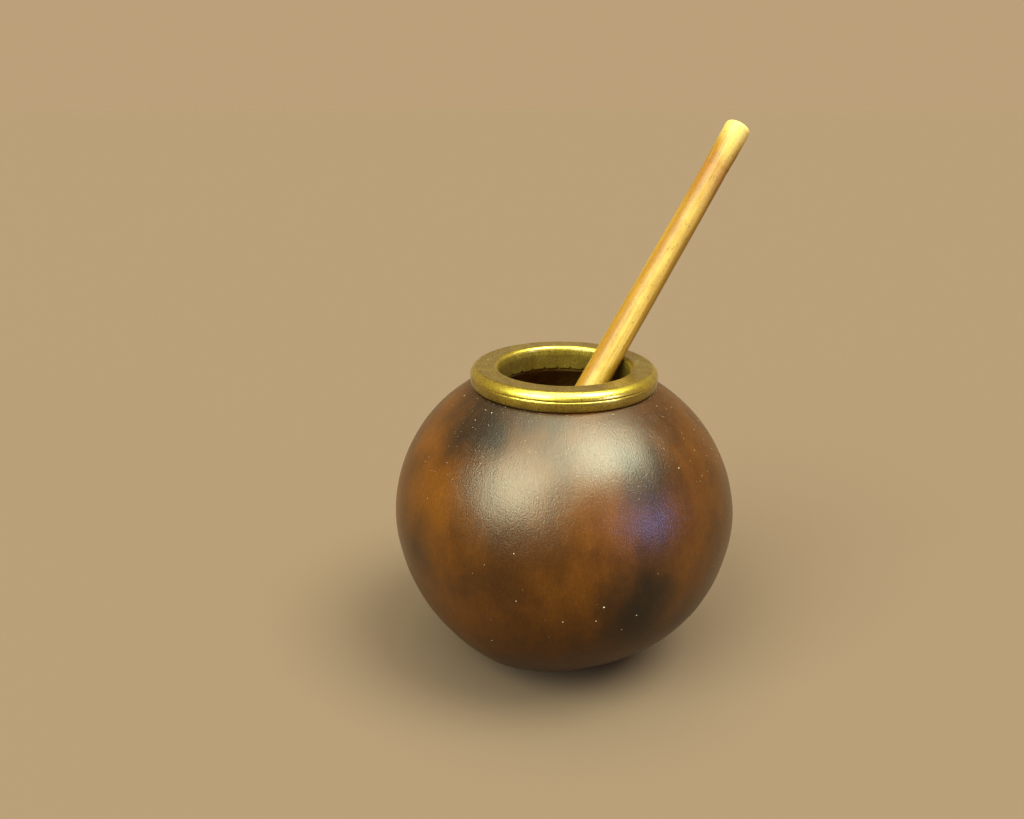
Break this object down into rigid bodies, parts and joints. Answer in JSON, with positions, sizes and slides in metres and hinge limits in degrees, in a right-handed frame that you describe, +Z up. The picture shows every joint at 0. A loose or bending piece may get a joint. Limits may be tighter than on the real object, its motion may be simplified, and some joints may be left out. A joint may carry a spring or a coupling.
{
  "type": "mate gourd cup with straw",
  "caption": "Round calabash cup, empty, with a rolled brass rim round its open mouth and a cane straw leaning in it.",
  "frame": {"origin": "centre of the flat spot under the gourd that it rests on", "axes": "+Z up; -Y is the front; the straw leans towards +X and a little towards +Y"},
  "size_m": [0.0938, 0.0918, 0.1453],
  "materials": {
    "calabash": "semi-gloss lacquered gourd shell, mottled brown",
    "rim_brass": "satin rolled sheet, lightly worn",
    "cane": "sanded cane with a satin skin"
  },
  "bodies": {
    "root": {"gourd": "calabash", "rim": "rim_brass", "straw": "cane"}
  },
  "joints": []
}
